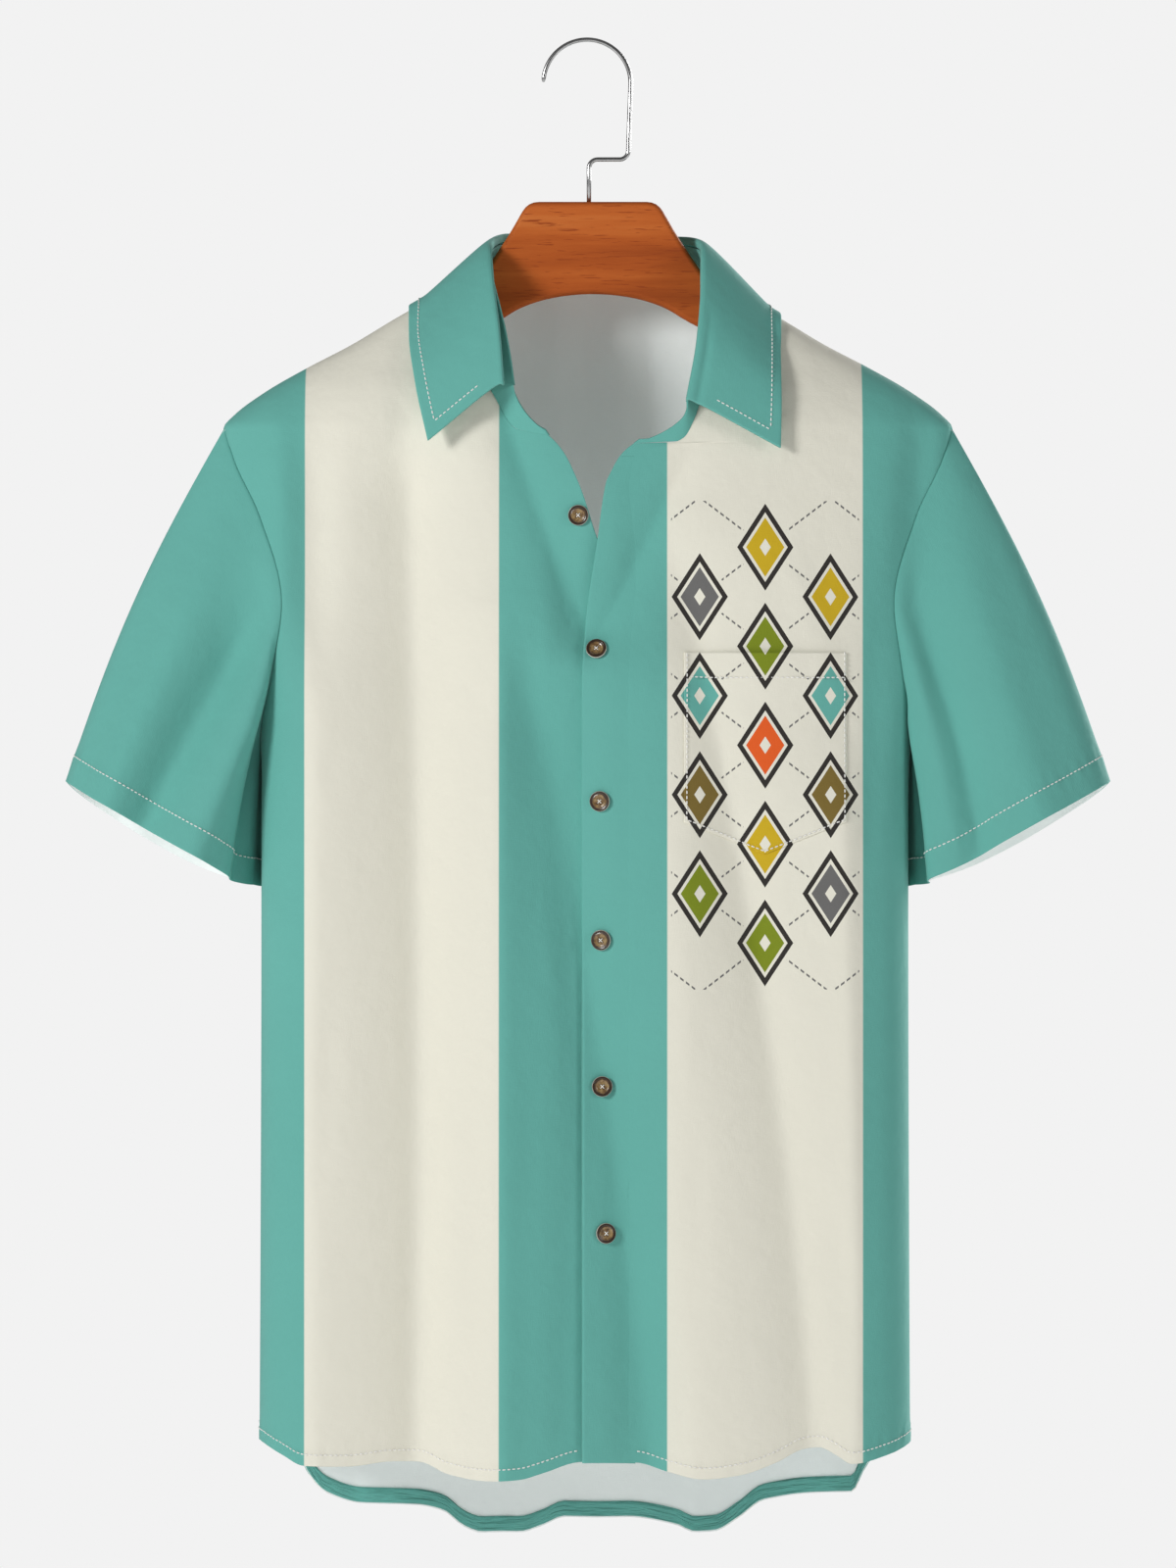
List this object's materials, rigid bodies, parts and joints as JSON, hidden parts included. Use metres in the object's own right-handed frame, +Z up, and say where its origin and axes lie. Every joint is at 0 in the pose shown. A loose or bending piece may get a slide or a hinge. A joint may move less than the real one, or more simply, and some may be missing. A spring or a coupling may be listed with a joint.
{
  "type": "bowling shirt on a hanger",
  "caption": "Short-sleeved button-up bowling shirt, teal with cream panel stripes and a printed chest pocket, hanging open at the neck on a wooden hanger with a wire hook.",
  "frame": {"origin": "inside of the hook's bend, where a rail carries the hanger", "axes": "+Z up, -Y the wearer's front, +X the wearer's left"},
  "size_m": [0.66, 0.1324, 0.9522],
  "materials": {
    "teal_cloth": "smooth printed polyester, matt with a slight sheen",
    "striped_cloth": "the same cloth printed teal and cream in upright stripes, white on the reverse",
    "cream_cloth": "the same cloth in cream",
    "wood": "reddish brown stain under satin varnish",
    "button": "polished mottled brown, like tortoiseshell",
    "wire": "bright drawn steel wire"
  },
  "bodies": {
    "root": {"front_left": "striped_cloth", "front_right": "striped_cloth", "back": "striped_cloth", "sleeve_left": "teal_cloth", "sleeve_right": "teal_cloth", "collar": "teal_cloth", "collar_stand": "teal_cloth", "placket": "teal_cloth", "pocket": "cream_cloth", "back_hem": "teal_cloth", "hanger": "wood", "hook": "wire", "button_1": "button", "button_2": "button", "button_3": "button", "button_4": "button", "button_5": "button", "button_6": "button"}
  },
  "joints": []
}
